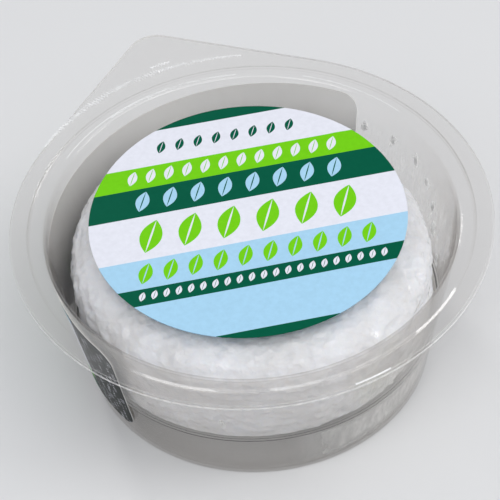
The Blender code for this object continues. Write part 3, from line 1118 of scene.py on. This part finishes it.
def build_crumb_tree():
    """Scatters flat crumbs round marks whose position holds (angle, height, spread)."""
    tree, value = new_shape_tree(
        "scatter crumbs", Int=("Crumbs", "Seed"),
        Float=("Smallest", "Largest", "Foot radius", "Slope"))
    copies = output_of(tree, "GeometryNodeDuplicateElements", {
        "Geometry": value["Geometry"], "Amount": value["Crumbs"]}, domain="POINT")
    mark = split(tree, output_of(tree, "GeometryNodeInputPosition"))

    def draw(low, high, extra):
        return draw_between(tree, low, high, maths(tree, "ADD", value["Seed"], extra))

    spread_out = product(tree, draw(-1.0, 1.0, 1.0), draw(0.2, 1.0, 2.0))
    spread_up = product(tree, draw(-1.6, 1.6, 3.0), draw(0.2, 1.0, 4.0))
    height = maths(tree, "MULTIPLY_ADD", spread_up, mark["Z"], mark["Y"])
    radius = maths(tree, "MULTIPLY_ADD", height, value["Slope"], value["Foot radius"])
    aside = maths(tree, "DIVIDE", product(tree, spread_out, mark["Z"]), radius)
    angle = maths(tree, "ADD", mark["X"], aside)
    spot = combine(tree, X=product(tree, maths(tree, "COSINE", angle), radius),
                   Y=product(tree, maths(tree, "SINE", angle), radius), Z=height)
    kept_angle = output_of(tree, "GeometryNodeStoreNamedAttribute", {
        "Geometry": copies, "Name": "angle", "Value": angle}, data_type="FLOAT", domain="POINT")
    placed = output_of(tree, "GeometryNodeSetPosition", {
        "Geometry": kept_angle, "Position": spot})
    ball = output_of(tree, "GeometryNodeMeshIcoSphere", {"Radius": 1.0, "Subdivisions": 3})
    named = output_of(tree, "GeometryNodeInputNamedAttribute", {"Name": "angle"},
                      data_type="FLOAT")
    size = maths(tree, "POWER", draw(0.0, 1.0, 5.0), 2.0)
    length = remap(tree, size, 0.0, 1.0, value["Smallest"], value["Largest"])
    crumbs = output_of(tree, "GeometryNodeInstanceOnPoints", {
        "Points": placed, "Instance": ball, "Rotation": combine(tree, Y=math.pi / 2, Z=named),
        "Scale": combine(tree, X=product(tree, length, draw(0.8, 1.7, 6.0)), Y=length,
                         Z=product(tree, length, CRUMB_FLATNESS))})
    real = output_of(tree, "GeometryNodeRealizeInstances", {"Geometry": crumbs})
    rough = maths(tree, "SUBTRACT", noise(tree, CRUMB_BUMPS_PER_METRE, 1.0), 0.5)
    push = scaled(tree, output_of(tree, "GeometryNodeInputNormal"),
                  product(tree, rough, product(tree, value["Largest"], 0.5)))
    bumpy = output_of(tree, "GeometryNodeSetPosition", {"Geometry": real, "Offset": push})
    return finish_shape(tree, bumpy, value["Material"])


crumb_tree = build_crumb_tree()

# %% [markdown]
# Crumbs are so thin that light from behind shines through them, so half of their finish is
# translucent. The marks follow the photograph: most lie high on the right wall, a few low in
# front.

# %% Scatter the crumbs
CRUMB_GLOW = 0.5
CRUMB_CLEAR = 0.4
CRUMB_CLOUDS_PER_METRE = 700.0


def thin_curd(name):
    """Curd in crumbs so thin that light passes."""
    material, tree, place_in = new_material(name)
    clouds = noise(tree, CRUMB_CLOUDS_PER_METRE, 2.0, Vector=place_in)
    tone = blend_colours(tree, clouds, (0.94, 0.94, 0.93), (0.99, 0.99, 0.99))
    lit = shader(tree, "Principled", {"Base Color": tone, "Roughness": 0.3})
    through = shader(tree, "Translucent", {"Color": tone})
    body = mix_shaders(tree, CRUMB_GLOW, lit, through)
    return finish_material(
        material, mix_shaders(tree, CRUMB_CLEAR, body, let_through(tree, WHITE)))


# Each mark's angle in degrees, height and spread in metres
curd_marks = [
    (31, 0.0345, 0.0009), (20, 0.0350, 0.0012), (9, 0.0350, 0.0014), (2, 0.0325, 0.0011),
    (-4, 0.0290, 0.0011), (-7, 0.0235, 0.0013), (-14, 0.0190, 0.0012), (-60, 0.0235, 0.0016),
    (-68, 0.0205, 0.0014), (-122, 0.0215, 0.0010),
]
marks = bpy.data.meshes.new("curd_marks")
marks.from_pydata([(math.radians(mark[0]), *mark[1:]) for mark in curd_marks], [], [])
crumbs = through_tree(
    "curd_crumbs", marks, crumb_tree, crumbs=22, smallest=0.00015, largest=0.00070,
    foot_radius=BASE_RADIUS - WALL - 0.0001, slope=WALL_SLOPE, seed=3,
    material=thin_curd("crumbs of curd"))
crumbs = place(crumbs)
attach(crumbs, "root")
print("crumbs have", len(crumbs.data.polygons), "faces")

# %% [markdown]
# Between the crumbs the wall is smeared with thin whey, which dries to a milky, streaky veil. It
# is a patch of very thin shell just inside the wall. Its material is mostly see-through, and
# noise drawn out upright decides where it turns milky. It fades out towards its edges. The low
# veil at the front is part whey and part painted light: its milky share also paints the
# paleness that light gives the bottom of that wall.

# %% The whey smears
SMEAR_STEPS = 24
SMEAR_GAP = 0.00004
SMEAR_THICKNESS = 0.00003
MILKY = (0.92, 0.92, 0.91)
SMEAR_STREAKS_PER_METRE = (520.0, 520.0, 130.0)


def milky_smear(name, middle_angle, half_angle, low, high, thinnest, thickest):
    """A see-through veil with upright milky streaks that fades at its edges."""
    material, tree, place_in = new_material(name)
    angle, height = round_the_axis(tree, place_in, middle_angle)
    aside = maths(tree, "DIVIDE", maths(tree, "ABSOLUTE", angle), half_angle)
    from_middle = maths(tree, "SUBTRACT", height, (low + high) / 2)
    up = maths(tree, "DIVIDE", maths(tree, "ABSOLUTE", from_middle), (high - low) / 2)
    fade = remap(tree, maths(tree, "MAXIMUM", aside, up), 0.35, 1.0, 1.0, 0.0)
    drawn_out = output_of(tree, "ShaderNodeMapping", {
        "Vector": place_in, "Scale": SMEAR_STREAKS_PER_METRE})
    streaks = noise(tree, 1.0, 4.0, Vector=drawn_out, Roughness=0.65)
    share = remap(tree, streaks, 0.42, 0.72, thinnest, thickest)
    veil = mix_shaders(tree, 0.5, shader(tree, "Diffuse", {"Color": MILKY}),
                       shader(tree, "Translucent", {"Color": MILKY}))
    return finish_material(material, mix_shaders(
        tree, product(tree, share, fade), let_through(tree, WHITE), veil))


# Each smear's name, middle and half angle in degrees, lowest and highest point, and its least
# and most milky share
smears = [
    ("whey_smear_back", 3, 34, 0.0180, 0.0370, 0.0, 0.3),
    ("whey_smear_front", -62, 22, 0.0155, 0.0280, 0.1, 0.6),
    # The low veil is part whey and part painted light: its heavy milky share also paints the
    # paleness of the lower front wall
    ("whey_smear_low", -62, 42, 0.0006, 0.0148, 0.5, 0.85),
]
for name, middle, half, low, high, thinnest, thickest in smears:
    veil = milky_smear(name.replace("_", " "), math.radians(middle), math.radians(half),
                       low, high, thinnest, thickest)
    angles = [middle - half + 2 * half * step / SMEAR_STEPS for step in range(SMEAR_STEPS + 1)]
    heights = (low, (low + high) / 2, high)
    smear = open_sheet(name, [
        [wall_point(math.radians(angle), height, -WALL - SMEAR_GAP) for height in heights]
        for angle in angles], veil)
    smear = place(give_wall(smear, SMEAR_THICKNESS, veil))
    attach(smear, "root")
    print(name, "has", len(smear.data.polygons), "faces")

# %% [markdown]
# ## Floor and light
#
# The floor is pale and matt, and wide enough to fill every view. A little noise keeps it from
# looking like flat paint.

# %% The floor
FLOOR_HALF_SIZE = 4.0
FLOOR_DROP = 0.0001
FLOOR_SHADE, FLOOR_PALE = (0.68, 0.68, 0.68), (0.72, 0.72, 0.72)
pale_floor, tree, place_in = new_material("pale floor")
clouds = noise(tree, 4.0, 3.0, Vector=place_in)
tone = blend_colours(tree, clouds, FLOOR_SHADE, FLOOR_PALE)
finish_material(pale_floor, shader(tree, "Principled", {"Base Color": tone, "Roughness": 0.8}))
edges = (-FLOOR_HALF_SIZE, FLOOR_HALF_SIZE)
floor = open_sheet("floor", [[(x, y, -FLOOR_DROP) for y in edges] for x in edges[::-1]], pale_floor)
print("floor is %.0f m wide" % (2 * FLOOR_HALF_SIZE))

# %% [markdown]
# The light is soft and comes from all sides. The key stands on the right, so the label's shadow
# falls on the cheese at its left. The broad one in front lights the top and keeps that shadow
# pale, the one on the left reaches into the gap beside the paper, and a low one fills the wall
# on the right. A small one behind picks out the rolled edge of the mouth and the crinkles in
# the film.

# %% The lights
LIGHTS_LOOK_AT = Vector((0.0, 0.0, 0.02))
SKY_COLOUR = (0.93, 0.95, 1.0, 1.0)
SKY_STRENGTH = 0.50
# Each light's name, angle round the pack and above it in degrees, distance, size, power, colour
lights = [
    ("key", -30, 54, 0.9, 0.50, 1.2, (1.0, 0.985, 0.965)),
    ("front", -80, 60, 1.1, 0.8, 3.4, (0.97, 0.985, 1.0)),
    ("left", -152, 50, 0.9, 0.50, 1.8, WHITE),
    ("low fill", -25, 18, 0.9, 0.35, 1.9, WHITE),
    ("back light", 95, 33, 0.8, 0.12, 0.8, WHITE),
]
for name, azimuth, elevation, distance, size, power, colour in lights:
    data = bpy.data.lights.new(name, "AREA")
    data.size = size
    data.energy = power
    data.color = colour
    light = add_object(name, data)
    a, e = math.radians(azimuth), math.radians(elevation)
    direction = Vector((math.cos(a) * math.cos(e), math.sin(a) * math.cos(e), math.sin(e)))
    light.location = LIGHTS_LOOK_AT + direction * distance
    light.rotation_euler = direction.to_track_quat("Z", "Y").to_euler()

world = bpy.data.worlds.new("studio")
world.use_nodes = True
sky = world.node_tree.nodes["Background"].inputs
sky["Color"].default_value = SKY_COLOUR
sky["Strength"].default_value = SKY_STRENGTH
bpy.context.scene.world = world
bpy.context.scene.view_settings.view_transform = "Standard"
print(len(lights), "soft lights")
